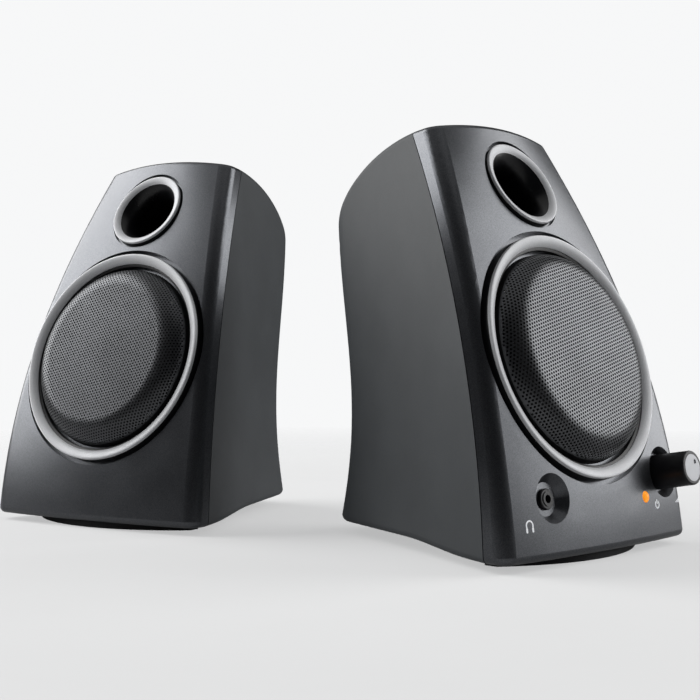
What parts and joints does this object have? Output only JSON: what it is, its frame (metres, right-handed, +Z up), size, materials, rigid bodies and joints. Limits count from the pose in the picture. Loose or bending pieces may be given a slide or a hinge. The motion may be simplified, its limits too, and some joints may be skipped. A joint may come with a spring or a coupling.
{
  "type": "desktop speaker pair",
  "caption": "Pair of small powered desktop speakers with leaning fronts, round domed grilles, reflex ports, a volume knob and a headphone socket.",
  "frame": {"origin": "on the desk, under the centre of the pair's bounding box", "axes": "+X to the right across the pair, +Y away from the listener, +Z up"},
  "size_m": [0.3432, 0.2739, 0.19],
  "materials": {
    "baffle_paint": "satin graphite metallic paint over moulded plastic",
    "shell_plastic": "fine matte moulded texture, cool dark grey",
    "black_rubber": "matte black",
    "black_plastic": "satin black",
    "gloss_black": "gloss black",
    "satin_silver": "satin silver paint",
    "grille_metal": "dark grey painted perforated steel",
    "black_steel": "black paint",
    "zinc_steel": "zinc plated",
    "ferrite": "unpainted ferrite",
    "spider_cloth": "resin treated cloth",
    "cone_paper": "pressed paper",
    "copper_coil": "enamelled copper wire",
    "amber_lamp": "translucent amber",
    "circuit_board": "green solder mask",
    "bare_aluminium": "as extruded",
    "capacitor_sleeve": "shrink sleeve",
    "knob_grey": "satin grey"
  },
  "bodies": {
    "right_speaker": {"right_front_baffle": "baffle_paint", "right_rear_shell": "shell_plastic", "right_front_foot": "black_rubber", "right_rear_feet": "black_rubber", "right_case_screws": "zinc_steel", "right_trim_ring": "satin_silver", "right_grille": "grille_metal", "right_port_ring": "satin_silver", "right_port_tube": "gloss_black", "right_driver_basket": "black_steel", "right_driver_top_plate": "zinc_steel", "right_driver_magnet": "ferrite", "right_driver_back_plate": "zinc_steel", "right_driver_surround": "black_rubber", "right_driver_spider": "spider_cloth", "right_driver_screws": "zinc_steel", "right_volume_pot": "zinc_steel", "right_headphone_jack": "black_plastic", "right_headphone_nut": "black_plastic", "right_power_lamp": "amber_lamp", "right_control_board": "circuit_board", "right_amp_board": "circuit_board", "right_amp_chip": "black_plastic", "right_heatsink": "bare_aluminium", "right_capacitors": "capacitor_sleeve", "right_power_inlet": "black_plastic", "right_line_in_jack": "black_plastic", "right_speaker_out_jack": "black_plastic"},
    "left_speaker": {"left_front_baffle": "baffle_paint", "left_rear_shell": "shell_plastic", "left_front_foot": "black_rubber", "left_rear_feet": "black_rubber", "left_case_screws": "zinc_steel", "left_trim_ring": "satin_silver", "left_grille": "grille_metal", "left_port_ring": "satin_silver", "left_port_tube": "gloss_black", "left_driver_basket": "black_steel", "left_driver_top_plate": "zinc_steel", "left_driver_magnet": "ferrite", "left_driver_back_plate": "zinc_steel", "left_driver_surround": "black_rubber", "left_driver_spider": "spider_cloth", "left_driver_screws": "zinc_steel", "left_input_jack": "black_plastic"},
    "right_cone": {"right_driver_cone": "cone_paper", "right_driver_dust_cap": "cone_paper", "right_driver_voice_coil": "copper_coil"},
    "left_cone": {"left_driver_cone": "cone_paper", "left_driver_dust_cap": "cone_paper", "left_driver_voice_coil": "copper_coil"},
    "volume_control": {"right_volume_knob": "black_plastic", "right_knob_cap": "knob_grey", "right_knob_shaft": "bare_aluminium"}
  },
  "joints": [
    {"name": "left_speaker_place", "type": "slide", "parent": "right_speaker", "child": "left_speaker", "axis": [-1, 0, 0], "range_m": [0, 0.25]},
    {"name": "left_cone_travel", "type": "slide", "parent": "left_speaker", "child": "left_cone", "axis": [-0.5082, -0.807, 0.3007], "range_m": [-0.002, 0.002], "stiffness_N_per_m": 1000, "deforming": ["left_driver_surround", "left_driver_spider"]},
    {"name": "right_cone_travel", "type": "slide", "parent": "right_speaker", "child": "right_cone", "axis": [0.6732, -0.6756, 0.3007], "range_m": [-0.002, 0.002], "stiffness_N_per_m": 1000, "deforming": ["right_driver_surround", "right_driver_spider"]},
    {"name": "volume_turn", "type": "hinge", "parent": "right_speaker", "child": "volume_control", "pos_m": [0.15617, -0.05364, 0.0335], "axis": [0.6951, -0.6976, 0.1736], "range_deg": [-105, 195]}
  ]
}
